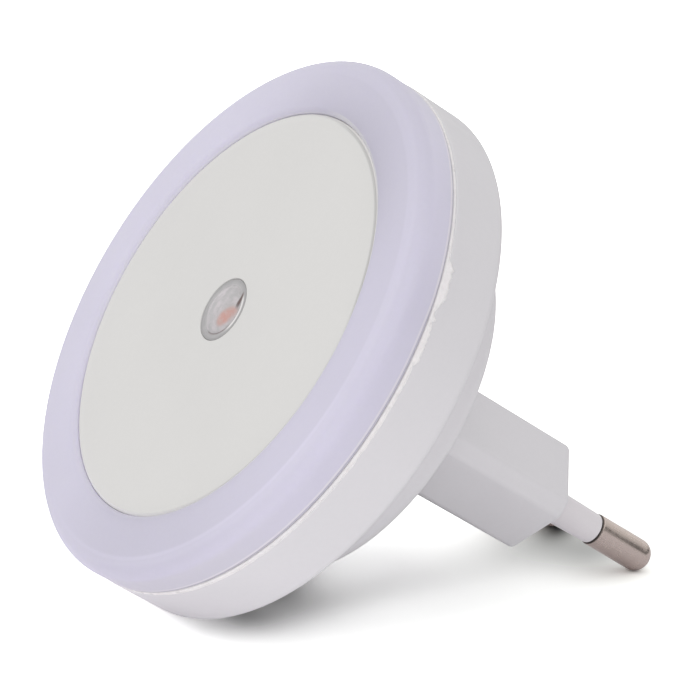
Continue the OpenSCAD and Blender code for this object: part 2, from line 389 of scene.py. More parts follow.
def place(o, slot, *nodes):
    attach(o, "root")
    if nodes:
        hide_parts(*nodes)
    return o


# ---------------------------------------------------------------- materials
def scaled(t, colour, factor):
    n = t.nodes.new("ShaderNodeVectorMath")
    n.operation = "SCALE"
    t.links.new(colour, n.inputs[0])
    put(t, n.inputs[3], factor)
    return n.outputs[0]


def polar(t, x0=0.0, z0=0.0):
    """Distance from the axis at (x0, z0) in mm, the cosine of the angle from +X, and y in mm."""
    sep = t.nodes.new("ShaderNodeSeparateXYZ")
    t.links.new(vmath(t, "MULTIPLY", coords(t), (1000, 1000, 1000)), sep.inputs[0])
    x = math_node(t, "SUBTRACT", sep.outputs["X"], x0)
    z = math_node(t, "SUBTRACT", sep.outputs["Z"], z0)
    r = math_node(t, "SQRT", math_node(t, "ADD", math_node(t, "MULTIPLY", x, x), math_node(t, "MULTIPLY", z, z)))
    return r, math_node(t, "DIVIDE", x, math_node(t, "MAXIMUM", r, 0.01)), sep.outputs["Y"], x, z


def opal_painted_light(t, base):
    """Opal wall: darker towards the inner edge, with painted shade at the upper right, painted highlights along the
    shoulder's crest, the inner lip and the rear edge, painted light on the upper skirt and along the lip's foot,
    painted shade low on the skirt and in the rear crease, and painted shading in faint lobes round the ring.
    """
    r, c, y, x, z = polar(t)
    # painted shading: faint lobes of light and shade round the ring, lightest towards -X, a little lighter low on +X
    # and a little darker low on -X
    lobes = math_node(t, "ADD", span(t, c, 0.35, -0.9, 0.908, 1.085), span(t, c, 0.4, 1.0, 0.0, 0.09))
    lobes = math_node(t, "MULTIPLY_ADD", math_node(t, "MULTIPLY", span(t, z, 0.0, -9.0), span(t, c, 0.0, 0.4)), 0.02, lobes)
    lobes = math_node(t, "MULTIPLY_ADD", math_node(t, "MULTIPLY", span(t, z, 0.0, -10.0), span(t, c, -0.3, -0.7)), -0.02, lobes)
    # darker towards the inner edge, a little more on the +X side
    inner = math_node(t, "MULTIPLY", span(t, r, 25.9, 27.6, -0.035, 0.0), span(t, c, -0.3, 0.2))
    inner = math_node(t, "ADD", inner, span(t, r, 25.9, 26.7, 0.965, 1.0))
    # painted shade at the upper right, fading out towards the shoulder
    upper = math_node(t, "MULTIPLY", span(t, z, 8.0, 24.0), span(t, c, -0.75, 0.2))
    inner = math_node(t, "MULTIPLY_ADD", math_node(t, "MULTIPLY", upper, span(t, r, 25.9, 30.4, 1, 0)), -0.085, inner)
    # painted highlight on the inner lip at the upper right
    lip = math_node(t, "MULTIPLY", math_node(t, "MULTIPLY", span(t, z, 8.0, 14.0), span(t, c, -0.1, 0.15)), span(t, r, 26.22, 26.08))
    # painted highlight along the shoulder's crest, mostly on the +X side, with a finer painted line in it that is
    # stronger lower down
    crest = math_node(t, "MULTIPLY", span(t, r, 30.45, 30.9), span(t, r, 31.6, 32.3, 1, 0))
    line = math_node(t, "MULTIPLY", span(t, r, 30.65, 30.85), span(t, r, 31.05, 31.25, 1, 0))
    crest = math_node(t, "MULTIPLY_ADD", math_node(t, "MULTIPLY", line, span(t, z, 6.0, -9.0)), 0.8, crest)
    crest = math_node(t, "MULTIPLY", crest, span(t, c, -0.5, 0.4))
    face = math_node(t, "MULTIPLY", lobes, math_node(t, "MULTIPLY_ADD", crest, 0.047, inner))
    # the painted shading fades out over the skirt, and the skirt gets a little painted shade
    k = math_node(t, "MULTIPLY_ADD", math_node(t, "SUBTRACT", face, 1.0), span(t, y, FRONT + 0.6, FRONT + 2.0, 1, 0), 1.0)
    k = math_node(t, "ADD", k, span(t, y, FRONT + 0.6, FRONT + 2.5, 0.0, -0.032))
    # painted light on the upper right of the skirt
    side = span(t, y, FRONT + 0.8, FRONT + 1.8)
    skirt_painted_light = math_node(t, "MULTIPLY", math_node(t, "MULTIPLY", span(t, z, 8.0, 22.0), span(t, c, 0.1, 0.5)), side)
    k = math_node(t, "MULTIPLY_ADD", skirt_painted_light, 0.05, k)
    # painted shade low on the skirt: a darker lilac
    under = math_node(t, "MULTIPLY", math_node(t, "MULTIPLY", span(t, z, -12.0, -26.0), span(t, c, -0.2, 0.2)), side)
    base = mix(t, under, base, (0.656, 0.635, 0.719))
    # painted highlight along the skirt's rear edge
    start = span(t, z, 8.0, 12.0, FRONT + 4.05, FRONT + 4.17)
    past = math_node(t, "SUBTRACT", y, start)
    edge = math_node(t, "MULTIPLY", span(t, past, -0.24, -0.17), span(t, past, 0.0, 0.06, 1, 0))
    edge = math_node(t, "MULTIPLY", edge, span(t, r, 32.6, 32.7))
    painted_highlights = mix(t, math_node(t, "MULTIPLY", edge, 0.75), base, (0.80, 0.762, 0.83))
    # painted shade in the crease behind the rear edge
    crease = math_node(t, "MULTIPLY", span(t, past, 0.0, 0.1), span(t, r, 32.6, 32.7))
    # painted light at the lip's foot along the left, where it meets the disc
    foot = math_node(t, "MULTIPLY", span(t, y, FRONT - 0.22, FRONT + 0.06), span(t, r, 26.05, 25.85))
    foot = math_node(t, "MULTIPLY", math_node(t, "MULTIPLY", foot, span(t, z, -16.0, -6.0)), span(t, c, 0.35, -0.1, 0.0, 0.25))
    painted_highlights = mix(t, foot, painted_highlights, (0.95, 0.94, 0.96))
    painted_highlights = mix(t, math_node(t, "MULTIPLY", lip, 0.6), painted_highlights, (0.90, 0.885, 0.89))
    return scaled(t, painted_highlights, math_node(t, "MULTIPLY", k, math_node(t, "MULTIPLY_ADD", crease, -0.23, 1.0)))


opal = plastic("opal_ring", (0.683, 0.658, 0.777), rough=0.36, vary=0.010, tint=(1.0, 1.0, 1.004),
               peel=0.000010, peel_scale=260.0, grain=0.0000012, grain_scale=3200.0, specular=0.45,
               sss=0.35, sss_radius=(1.2, 1.1, 1.4), tone=opal_painted_light)


def disc_edge_painted_light(t, base):
    """The disc's bevelled edge: a painted highlight with a fine painted dark line inside it at the upper right, painted
    light all along the left and at the lower left, and a little painted light just inside the edge on the left.
    """
    r, c, y, x, z = polar(t)
    # painted highlight on the bevel at the upper right
    upper = math_node(t, "MULTIPLY", span(t, z, 3.0, 10.0), span(t, c, -0.05, 0.25))
    k = math_node(t, "MULTIPLY_ADD", math_node(t, "MULTIPLY", upper, span(t, r, 25.38, 25.46)), 0.29, 1.0)
    # painted shade: a fine dark line just inside the bevel
    dark = math_node(t, "MULTIPLY", span(t, r, 24.95, 25.15), span(t, r, 25.32, 25.4, 1, 0))
    k = math_node(t, "MULTIPLY_ADD", math_node(t, "MULTIPLY", upper, dark), -0.21, k)
    # painted light along the left edge and at the lower left
    left = math_node(t, "MULTIPLY", span(t, c, 0.25, -0.3), span(t, r, 25.22, 25.36))
    low = math_node(t, "MULTIPLY", math_node(t, "MULTIPLY", span(t, z, -6.0, -18.0), span(t, c, 0.8, 0.1)), span(t, r, 25.2, 25.34))
    k = math_node(t, "MULTIPLY_ADD", low, 0.17, math_node(t, "MULTIPLY_ADD", left, 0.12, k))
    # a little painted light just inside the edge on the left
    return scaled(t, base, math_node(t, "MULTIPLY_ADD", math_node(t, "MULTIPLY", span(t, c, 0.2, -0.3), span(t, r, 24.1, 24.9)), 0.02, k))


disc_mat = plastic("front_disc", (0.767, 0.759, 0.741), rough=0.58, vary=0.008, tone=disc_edge_painted_light,
                   grain=0.0000035, grain_scale=4200.0, peel=0.000006, peel_scale=180.0, specular=0.35)

white = plastic("housing_white", (0.722, 0.709, 0.729), rough=0.42, vary=0.010, tint=(1.004, 0.998, 1.0),
                peel=0.000008, peel_scale=240.0, grain=0.0000015, grain_scale=3000.0, specular=0.45)


def flash_shade_and_mottle(t, base):
    """The bead has painted shade in the crease next to the ring, and is mottled where it ran out."""
    r, c, y, x, z = polar(t)
    # painted shade in the crease next to the ring; the mottling below is the bead's own tone
    k = span(t, y, FRONT + 4.46, FRONT + 4.6, 0.9, 1.0)
    return scaled(t, base, math_node(t, "MULTIPLY", k, span(t, noise_tex(t, 1100.0, 3.0, 0.6), 0.3, 0.7, 0.93, 1.0)))


flash_mat = plastic("weld_flash", (0.93, 0.90, 0.91), rough=0.3, vary=0.03, tint=(1.0, 0.99, 0.98),
                    peel=0.00004, peel_scale=900.0, specular=0.5, sss=0.2, sss_radius=(0.8, 0.7, 0.7), tone=flash_shade_and_mottle)
sleeve_mat = plastic("sleeve_white", (0.775, 0.742, 0.762), rough=0.42, vary=0.012,
                     peel=0.000008, peel_scale=500.0, grain=0.000001, grain_scale=4000.0, specular=0.4)


def pin_groove_shade(t, base):
    """Painted shade in the groove where the sleeve ends."""
    r, c, y, x, z = polar(t)
    return scaled(t, base, span(t, y, SLEEVE_LEN + 0.16, SLEEVE_LEN + 0.30, 0.16, 1.0))


pin_mat = metal("pin_metal", (0.715, 0.612, 0.555), rough=0.24, scratch=0.0000005, axis_scale=(1, 0.05, 1), vary=0.03, tone=pin_groove_shade)
lead_mat = metal("tinned_lead", (0.72, 0.72, 0.7), rough=0.3)
screw_mat = metal("screw_steel", (0.6, 0.6, 0.62), rough=0.32, axis_scale=(1, 1, 1))
board_mat = plastic("board", (0.82, 0.84, 0.8), rough=0.35, vary=0.03, grain=0.000004, grain_scale=1500.0)
epoxy_mat = plastic("black_epoxy", (0.02, 0.02, 0.022), rough=0.5, vary=0.15, grain=0.000006, grain_scale=3000.0)
resistor_mat = plastic("resistor_body", (0.12, 0.25, 0.18), rough=0.5, vary=0.08, peel=0.00003, peel_scale=900.0)
film_mat = plastic("film_case", (0.62, 0.36, 0.03), rough=0.28, vary=0.04, peel=0.00002, peel_scale=400.0)
can_mat = plastic("can_sleeve", (0.012, 0.015, 0.03), rough=0.3, vary=0.1, peel=0.00001, peel_scale=500.0)
brown_mat = plastic("brown_wire", (0.11, 0.045, 0.02), rough=0.4, vary=0.06, peel=0.00001, peel_scale=800.0)
blue_mat = plastic("blue_wire", (0.02, 0.08, 0.32), rough=0.4, vary=0.06, peel=0.00001, peel_scale=800.0)
retainer_mat = plastic("retainer", (0.6, 0.6, 0.56), rough=0.5, vary=0.03, grain=0.000003, grain_scale=2500.0)
shroud_mat = plastic("sensor_tube", (0.62, 0.61, 0.61), rough=0.55, vary=0.05, grain=0.000004, grain_scale=2500.0)


def diode_material():
    """A yellow phosphor window in a white package, told apart by the distance to the package's middle."""
    m, t = material("diode")
    b = t.nodes.new("ShaderNodeBsdfPrincipled")
    c = coords(t)
    sep = t.nodes.new("ShaderNodeSeparateXYZ")
    t.links.new(c, sep.inputs[0])
    radius = vmath(t, "LENGTH", vmath(t, "MULTIPLY", c, (1, 0, 1)))
    ang = math_node(t, "ARCTAN2", sep.outputs["Z"], sep.outputs["X"])
    step = math.pi / 4
    local = math_node(t, "SUBTRACT", math_node(t, "MODULO", math_node(t, "ADD", ang, 4 * math.pi), step), step / 2)
    along = math_node(t, "MULTIPLY", local, 28.8 * MM)
    out = math_node(t, "SUBTRACT", radius, 28.8 * MM)
    r = math_node(t, "MAXIMUM", math_node(t, "ABSOLUTE", math_node(t, "MULTIPLY", along, 0.75)), math_node(t, "ABSOLUTE", out))
    face = math_node(t, "MULTIPLY", span(t, r, 0.00095, 0.00105, 1, 0), math_node(t, "LESS_THAN", sep.outputs["Y"], (FRONT + 7.5) * MM))
    phosphor = mix(t, noise_tex(t, 2500.0), (0.85, 0.6, 0.08), (0.92, 0.72, 0.14))
    case = mix(t, noise_tex(t, 900.0), (0.82, 0.82, 0.8), (0.88, 0.88, 0.86))
    t.links.new(mix(t, face, case, phosphor), b.inputs["Base Color"])
    t.links.new(span(t, face, 0, 1, 0.45, 0.2), b.inputs["Roughness"])
    t.links.new(bump(t, noise_tex(t, 1800.0), 0.000005), b.inputs["Normal"])
    finish_shader(t, b.outputs["BSDF"])
    return m


def ceramic_material():
    """The light cell's face: pale ceramic with a short winding salmon track to one side."""
    m, t = material("ceramic")
    b = t.nodes.new("ShaderNodeBsdfPrincipled")
    r, c, y, x, z = polar(t, SENSOR_X, SENSOR_Z)
    # the track's own directions: along it and across it
    u = math_node(t, "MULTIPLY_ADD", math_node(t, "SUBTRACT", z, -0.45), 0.86, math_node(t, "MULTIPLY", math_node(t, "SUBTRACT", x, 1.25), 0.5))
    v = math_node(t, "MULTIPLY_ADD", math_node(t, "SUBTRACT", x, 1.25), 0.86, math_node(t, "MULTIPLY", math_node(t, "SUBTRACT", z, -0.45), -0.5))
    wave = math_node(t, "ABSOLUTE", math_node(t, "SINE", math_node(t, "MULTIPLY", u, 2 * math.pi / 0.9)))
    oval = math_node(t, "ADD", math_node(t, "POWER", math_node(t, "DIVIDE", u, 1.55), 2.0), math_node(t, "POWER", math_node(t, "DIVIDE", v, 0.85), 2.0))
    track = math_node(t, "MULTIPLY", span(t, wave, 0.1, 0.35, 0.62, 1.0), span(t, oval, 0.7, 1.15, 1, 0))
    salmon = mix(t, noise_tex(t, 1500.0), (0.84, 0.27, 0.17), (0.90, 0.36, 0.25))
    pale = mix(t, noise_tex(t, 1200.0), (0.74, 0.70, 0.74), (0.84, 0.80, 0.83))
    t.links.new(mix(t, track, pale, salmon), b.inputs["Base Color"])
    t.links.new(span(t, noise_tex(t, 900.0), 0.3, 0.7, 0.4, 0.6), b.inputs["Roughness"])
    t.links.new(bump(t, track, 0.00003), b.inputs["Normal"])
    finish_shader(t, b.outputs["BSDF"])
    return m


def window_material():
    """Clear moulded plastic with a slim frosted rim, painted shade at the dome's foot and a faint haze."""
    m, t = material("clear_window")
    b = t.nodes.new("ShaderNodeBsdfPrincipled")
    b.inputs["IOR"].default_value = 1.49
    b.inputs["Transmission Weight"].default_value = 1.0
    r, c, y, x, z = polar(t, SENSOR_X, SENSOR_Z)
    cloud = noise_tex(t, 700.0, 3.0, 0.6)
    t.links.new(mix(t, span(t, cloud, 0.3, 0.7), (0.93, 0.93, 0.94), (0.98, 0.97, 0.97)), b.inputs["Base Color"])
    rim = span(t, r, 2.98, 3.26)
    t.links.new(math_node(t, "ADD", span(t, cloud, 0.3, 0.7, 0.04, 0.10), math_node(t, "MULTIPLY", rim, 0.3)), b.inputs["Roughness"])
    t.links.new(bump(t, noise_tex(t, 900.0, 2.0), 0.00004), b.inputs["Normal"])
    # painted shade at the foot of the dome: dark at its upper right and, more faintly, along the bottom
    d = math_node(t, "ABSOLUTE", math_node(t, "SUBTRACT", math_node(t, "MULTIPLY_ADD", z, 0.31, x), 2.89))
    upper = math_node(t, "MULTIPLY", span(t, d, 0.07, 0.26, 1, 0), span(t, z, 0.5, 1.4))
    upper = math_node(t, "MULTIPLY", upper, span(t, z, 2.4, 3.0, 1, 0))
    lower = math_node(t, "MULTIPLY", span(t, r, 2.98, 3.08), span(t, r, 3.14, 3.28, 1, 0))
    lower = math_node(t, "MULTIPLY", lower, span(t, z, -1.0, -2.2, 0, 0.62))
    lower = math_node(t, "MULTIPLY", lower, span(t, x, -1.0, 0.2))
    foot = math_node(t, "MAXIMUM", upper, lower)
    # the rim beyond it catches the light on the right
    lit = math_node(t, "MULTIPLY", span(t, r, 3.14, 3.26), span(t, r, 3.48, 3.60, 1, 0))
    lit = math_node(t, "MULTIPLY", lit, math_node(t, "MULTIPLY", span(t, x, 2.2, 2.9), span(t, z, -2.4, -1.2)))
    # the salmon track shines through the haze of the dome
    px = math_node(t, "DIVIDE", math_node(t, "SUBTRACT", math_node(t, "MULTIPLY_ADD", x, 0.86, math_node(t, "MULTIPLY", z, -0.5)), 1.98), 0.68)
    pz = math_node(t, "DIVIDE", math_node(t, "SUBTRACT", math_node(t, "MULTIPLY_ADD", z, 0.86, math_node(t, "MULTIPLY", x, 0.5)), 0.55), 1.5)
    patch = math_node(t, "ADD", math_node(t, "MULTIPLY", px, px), math_node(t, "MULTIPLY", pz, pz))
    patch = math_node(t, "MULTIPLY", span(t, patch, 0.15, 1.7, 1, 0), span(t, noise_tex(t, 1300.0, 3.0, 0.7), 0.3, 0.62, 0.55, 1.0))
    streak = span(t, noise_tex(t, 620.0, 4.0, 0.65), 0.36, 0.62)
    veil = mix(t, streak, (0.755, 0.745, 0.745), (0.94, 0.89, 0.91))
    veil = mix(t, patch, veil, (0.90, 0.575, 0.515))
    frost = mix(t, streak, (0.53, 0.52, 0.522), (0.58, 0.57, 0.572))
    veil = mix(t, rim, veil, mix(t, span(t, r, 3.4, 3.75), frost, (0.49, 0.482, 0.484)))
    veil = mix(t, foot, veil, (0.20, 0.15, 0.14))
    veil = mix(t, lit, veil, (0.98, 0.955, 0.95))
    haze = t.nodes.new("ShaderNodeBsdfDiffuse")
    t.links.new(veil, haze.inputs["Color"])
    both = t.nodes.new("ShaderNodeMixShader")
    amount = math_node(t, "MAXIMUM", span(t, rim, 0, 1, 0.58, 0.88), math_node(t, "MULTIPLY", foot, 0.85))
    t.links.new(amount, both.inputs[0])
    t.links.new(b.outputs["BSDF"], both.inputs[1])
    t.links.new(haze.outputs["BSDF"], both.inputs[2])
    finish_shader(t, both.outputs["Shader"])
    return m


diode_mat, ceramic_mat, window_mat = diode_material(), ceramic_material(), window_material()

for node, m in {
    "photocell": ceramic_mat, "photocell_leads": lead_mat, "sensor_shroud": shroud_mat, "led_board": board_mat,
    "leds": diode_mat, "control_transistor": epoxy_mat, "chip_resistors": epoxy_mat, "fusible_resistor": resistor_mat,
    "film_capacitor": film_mat, "smoothing_capacitor": can_mat, "bridge_rectifier": epoxy_mat, "live_wire": brown_mat,
    "neutral_wire": blue_mat, "board_screws": screw_mat, "pin_retainer": retainer_mat,
}.items():
    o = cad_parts[node]
    for s in o.material_slots:
        s.material = m

# ---------------------------------------------------------------- opal ring
crown_r, crown_x = 25.0, 27.6
crown_y = FRONT - 0.5 + crown_r
sx = RING_R - SHOULDER
sy = crown_y - math.sqrt((crown_r - SHOULDER) ** 2 - (sx - crown_x) ** 2)
turn = math.degrees(math.asin((sx - crown_x) / (crown_r - SHOULDER)))
ring_in, web, lip_r = DISC_R + 0.04, 27.5, 0.7
lip_a = math.degrees(math.asin((ring_in + lip_r - crown_x) / crown_r))


def ring_profile():
    pts = []
    # inner lip rounded into the crown, then the crown, the shoulder and the skirt
    lip_y = crown_y - math.sqrt(crown_r ** 2 - (ring_in + lip_r - crown_x) ** 2)
    pts += [(ring_in, FRONT + 1.6), (ring_in, lip_y + lip_r + 0.2)]
    pts += arc(ring_in + lip_r, lip_y + lip_r, lip_r, 180, 270, 12)[:-1]
    pts += [(crown_x + crown_r * math.sin(math.radians(a)), crown_y - crown_r * math.cos(math.radians(a)))
            for a in [lip_a + (turn - lip_a) * i / 22 for i in range(23)]]
    pts += arc(sx, sy, SHOULDER, -90 + turn, 0, 18)[1:]
    end = FRONT + 4.4
    pts += [(RING_R, sy + 0.4), (RING_R, end - 0.3)]
    pts += arc(RING_R - 0.14, end - 0.14, 0.14, 0, 90, 6)
    pts += [(32.35, end), (32.1, end), (32.1, FRONT + 6.6), (31.35, FRONT + 6.6), (31.35, end - 0.5)]
    # inside of the opal shell
    pts += [(31.15, end - 0.5), (31.15, FRONT + 2.1)]
    inner = crown_r - 1.9
    for i in range(9):
        x = 30.9 - (30.9 - web) * i / 8
        pts.append((x, crown_y - math.sqrt(inner ** 2 - (x - crown_x) ** 2)))
    pts += [(web, FRONT + 2.8), (23.2, FRONT + 2.8), (23.2, FRONT + 1.6)]
    return pts


ring = lathe("opal_ring", ring_profile(), [opal], seg=288)
place(ring, "opal_ring", "diffuser_ring")

# ---------------------------------------------------------------- centre disc
def at_sensor(r):
    """The window and its hole sit a little off the disc's middle."""
    return (SENSOR_X, SENSOR_Z) if r < 10 else (0.0, 0.0)


disc = lathe("front_disc", rounded([
    (WINDOW_R + 0.05, FRONT, 0.14), (DISC_R - 0.35, FRONT, 0.12), (DISC_R, FRONT + 0.25, 0.1), (DISC_R, FRONT + DISC_T, 0.15),
    (WINDOW_R + 0.75, FRONT + DISC_T, 0.1), (WINDOW_R + 0.75, FRONT + 0.9, 0.0), (WINDOW_R + 0.05, FRONT + 0.9, 0.0)],
    seg=10, support=0.04), [disc_mat], seg=240, centre=at_sensor)
place(disc, "front_disc", "centre_disc")


# ---------------------------------------------------------------- sensor window
def window_profile():
    dome_r = 5.4
    cy = FRONT - 0.85 + dome_r
    a1 = math.degrees(math.asin(3.0 / dome_r))
    pts = [(0.0, FRONT - 0.85)]
    pts += [(dome_r * math.sin(math.radians(a1 * i / 20)), cy - dome_r * math.cos(math.radians(a1 * i / 20))) for i in range(1, 21)]
    base = cy - dome_r * math.cos(math.radians(a1))
    pts += [(3.12, base + 0.02), (3.3, FRONT + 0.08)]
    pts += [(WINDOW_R - 0.25, FRONT + 0.05)]
    pts += arc(WINDOW_R - 0.15, FRONT + 0.2, 0.17, -90, 0, 6)
    pts += [(WINDOW_R, FRONT + 0.95), (WINDOW_R + 0.65, FRONT + 0.95), (WINDOW_R + 0.65, FRONT + 1.55), (0.0, FRONT + 1.55)]
    return pts


window = lathe("sensor_window", window_profile(), [window_mat], seg=128, centre=at_sensor)
place(window, "clear_window", "sensor_lens")

# ---------------------------------------------------------------- housing and stem
rim = FRONT + 4.8
plate = FRONT + WALL_BACK
boss = FRONT + BOSS_BACK
shell = [
    (WALL_R - 1.0, rim, 0.12), (WALL_R, rim, 0.3), (WALL_R, plate, 1.0), (BOSS_R, plate, 0.5), (BOSS_R, boss, 1.5),
    (0.0, boss), (0.0, boss - 2.0), (BOSS_R - WALL_T, boss - 2.0, 0.5), (BOSS_R - WALL_T, plate - 2.0, 0.3),
    (WALL_R - WALL_T, plate - 2.0, 0.4), (WALL_R - WALL_T, FRONT + 7.1, 0.0), (WALL_R - 1.0, FRONT + 7.1, 0.0)]
housing = new_object("rear_shell", lathe_bm(rounded(shell, seg=9), seg=288), [white])
end_round = 0.6
sections = [(boss - 0.9, section(0, STEM_ROUND)), (-end_round - 0.12, section(0, STEM_ROUND))]
for i in range(8):
    g = math.radians(90 * i / 7)
    inset = end_round * (1 - math.cos(g))
    sections.append((-end_round * (1 - math.sin(g)), section(inset, STEM_ROUND - inset)))
stem = new_object("stem", loft_bm(sections), [white])
boolean(housing, stem, "UNION")
hollow = new_object("hollow", loft_bm([(boss - 3, section(1.8, 0.5)), (-2.5, section(1.8, 0.5))]), [white])
boolean(housing, hollow, "DIFFERENCE")
for side in (-1, 1):
    bore = new_object("bore", lathe_bm([(0, -4.0), (2.12, -4.0), (2.12, 1.0), (0, 1.0)], seg=48, x0=side * PIN_X), [white])
    boolean(housing, bore, "DIFFERENCE")
for side in (-1, 1):
    bm = bmesh.new()
    bmesh.ops.create_cone(bm, segments=40, radius1=2.6 * MM, radius2=2.6 * MM, depth=(boss - 1.0 - (FRONT + 9.4)) * MM, cap_ends=True)
    mid = (boss - 1.0 + FRONT + 9.4) / 2
    bmesh.ops.transform(bm, matrix=Matrix.Translation((0, mid * MM, side * 17.8 * MM)) @ Matrix.Rotation(math.radians(90), 4, "X"), verts=bm.verts)
    boolean(housing, new_object("post", bm, [white]), "UNION")
    bm = bmesh.new()
    bmesh.ops.create_cone(bm, segments=24, radius1=1.1 * MM, radius2=1.1 * MM, depth=8 * MM, cap_ends=True)
    bmesh.ops.transform(bm, matrix=Matrix.Translation((0, (FRONT + 15.4 - 4) * MM, side * 17.8 * MM)) @ Matrix.Rotation(math.radians(90), 4, "X"), verts=bm.verts)
    boolean(housing, new_object("pilot", bm, [white]), "DIFFERENCE")
for i in range(6):
    bm = bmesh.new()
    bmesh.ops.create_cube(bm, size=1.0)
    grow = Matrix.Diagonal((1.6 * MM, (plate - 1.0 - (FRONT + 9.4)) * MM, 1.6 * MM, 1.0))
    mid = Matrix.Translation((27 * MM, (plate - 1.0 + FRONT + 9.4) / 2 * MM, 0))
    bmesh.ops.transform(bm, matrix=Matrix.Rotation(math.radians(60 * i + 30), 4, "Y") @ mid @ grow, verts=bm.verts)
    boolean(housing, new_object("rib", bm, [white]), "UNION")
bm = bmesh.new()
bm.from_mesh(housing.data)
bmesh.ops.remove_doubles(bm, verts=bm.verts, dist=0.001 * MM)
bm.to_mesh(housing.data)
bm.free()
soften(housing, 28)
place(housing, "housing_white", "rear_housing")


# ---------------------------------------------------------------- welded seam
def lump(a, seed, scale):
    return noise.noise(Vector((math.cos(a) * scale, math.sin(a) * scale, seed)))


def window_of(d, lo, lo_full, hi_full, hi):
    """1 between lo_full and hi_full, easing to 0 at lo and hi."""
    def ease(v):
        v = max(0.0, min(1.0, v))
        return v * v * (3 - 2 * v)
    return ease((d - lo) / (lo_full - lo)) * ease((hi - d) / (hi - hi_full))


def run_out(a):
    """How far, in mm, the weld has crept over the housing's rim: a broad burr, a notch, then a lower rough stretch."""
    d = math.degrees(a)
    d = d - 360 if d > 180 else d
    broad = window_of(d, 19.0, 22.5, 28.3, 30.2) * (0.62 + 0.26 * lump(a, 3.1, 60.0) + 0.20 * lump(a, 8.4, 170.0))
    low = window_of(d, 7.6, 9.5, 15.0, 17.4) * (0.26 + 0.20 * lump(a, 4.7, 90.0) + 0.14 * lump(a, 2.3, 220.0))
    notch = window_of(d, 16.9, 17.4, 17.6, 18.2) * 0.35
    even = window_of(d, -75.0, -60.0, 6.0, 9.0)
    rest = 0.03 + 0.07 * even + 0.09 * (1 - 0.6 * even) * max(0.0, lump(a, 6.6, 22.0)) + 0.03 * lump(a, 1.4, 75.0)
    top = -0.06 * window_of(d, 30.0, 36.0, 120.0, 150.0)
    return max(0.0, max(broad, low, notch) + rest + top), max(broad, low * 0.8, notch)


def seam_wobble(r, y, a, i):
    """The bead is narrow and even, but for where the weld ran out over the rim."""
    if i < 3 or i >= len(bead) - 2:
        return r, y
    g, thick = run_out(a)
    k = max(0.0, (y - (FRONT + 4.5)) / 0.36)
    if i >= SKIN:
        reach = (0.25, 0.6, 0.92, 1.0, 1.0)[i - SKIN]
        lift = (1.0, 1.0, 0.75, 0.2, 0.0)[i - SKIN]
        y += g * reach
        r += min(g, 0.2) * lift + 0.05 * thick * lift * (1 + 2.2 * lump(a, 9.9 + i, 120.0))
    else:
        r += 0.03 * lump(a, 1.0, 30.0) * k
        y += 0.02 * lump(a, 5.0, 40.0) * k
        if y > FRONT + 4.68:
            r += (33.14 - r) * min(1.0, g / 0.2)
    return min(r, 33.145 / max(abs(math.cos(a)), abs(math.sin(a)))), y


bead = [(32.2, FRONT + 4.42), (32.6, FRONT + 4.42), (32.84, FRONT + 4.425)]
bead += arc(32.86, FRONT + 4.655, 0.225, -82, 55, 8)
SKIN = len(bead)
bead += [(33.02, FRONT + 4.86), (33.03, FRONT + 4.90), (33.02, FRONT + 4.94), (32.96, FRONT + 4.96), (32.85, FRONT + 4.95)]
bead += [(32.6, FRONT + 4.86), (32.2, FRONT + 4.78)]
seam = lathe("weld_bead", bead, [flash_mat], seg=1440, wobble=seam_wobble, angle=70)
place(seam, "weld_flash", "seam_weld")

# ---------------------------------------------------------------- pins and sleeves
for side, name in ((-1, "left"), (1, "right")):
    x0 = side * PIN_X
    tube = [(1.32, -2.4), (2.06, -2.4), (2.06, 0.4), (1.87, SLEEVE_LEN, 0.12), (1.32, SLEEVE_LEN)]
    s = lathe("sleeve_" + name + "_cover", rounded(tube, seg=8), [sleeve_mat], seg=96, x0=x0)
    place(s, "sleeve_white", "sleeve_" + name)
    body = [(0, -7.5), (0.8, -7.5, 0.2), (0.8, -6.9), (1.3, -6.9), (1.3, -3.7), (2.6, -3.7, 0.15), (2.6, -2.6, 0.15), (1.3, -2.6),
            (1.3, SLEEVE_LEN + 0.08), (PIN_R, SLEEVE_LEN + 0.08, 0.26), (PIN_R, PIN_LEN, 1.6), (0, PIN_LEN)]
    p = lathe("pin_" + name + "_metal", rounded(body, seg=10), [pin_mat], seg=96, x0=x0)
    place(p, "pin_metal", "pin_" + name)

# ---------------------------------------------------------------- floor, world and lights
floor_n = Vector((0, -0.5284, 0.8490)).normalized()
floor_offset = -11.52 * MM
m, t = material("floor")
sep = t.nodes.new("ShaderNodeSeparateXYZ")
t.links.new(vmath(t, "MULTIPLY", t.nodes.new("ShaderNodeNewGeometry").outputs["Position"], (1000, 1000, 1000)), sep.inputs[0])
along_x = sep.outputs["X"]
along_v = math_node(t, "MULTIPLY_ADD", sep.outputs["Y"], 0.849, math_node(t, "MULTIPLY", sep.outputs["Z"], 0.528))


def pool(u, v, ru, rv, turned=0.0):
    """A soft oval patch on the floor, 1 in its middle, turned by so many radians."""
    c, k = math.cos(turned), math.sin(turned)
    du, dv = math_node(t, "SUBTRACT", along_x, u), math_node(t, "SUBTRACT", along_v, v)
    a = math_node(t, "MULTIPLY_ADD", du, c / ru, math_node(t, "MULTIPLY", dv, k / ru))
    b = math_node(t, "MULTIPLY_ADD", dv, c / rv, math_node(t, "MULTIPLY", du, -k / rv))
    d = math_node(t, "ADD", math_node(t, "MULTIPLY", a, a), math_node(t, "MULTIPLY", b, b))
    return math_node(t, "EXPONENT", math_node(t, "MULTIPLY", d, -1.0))


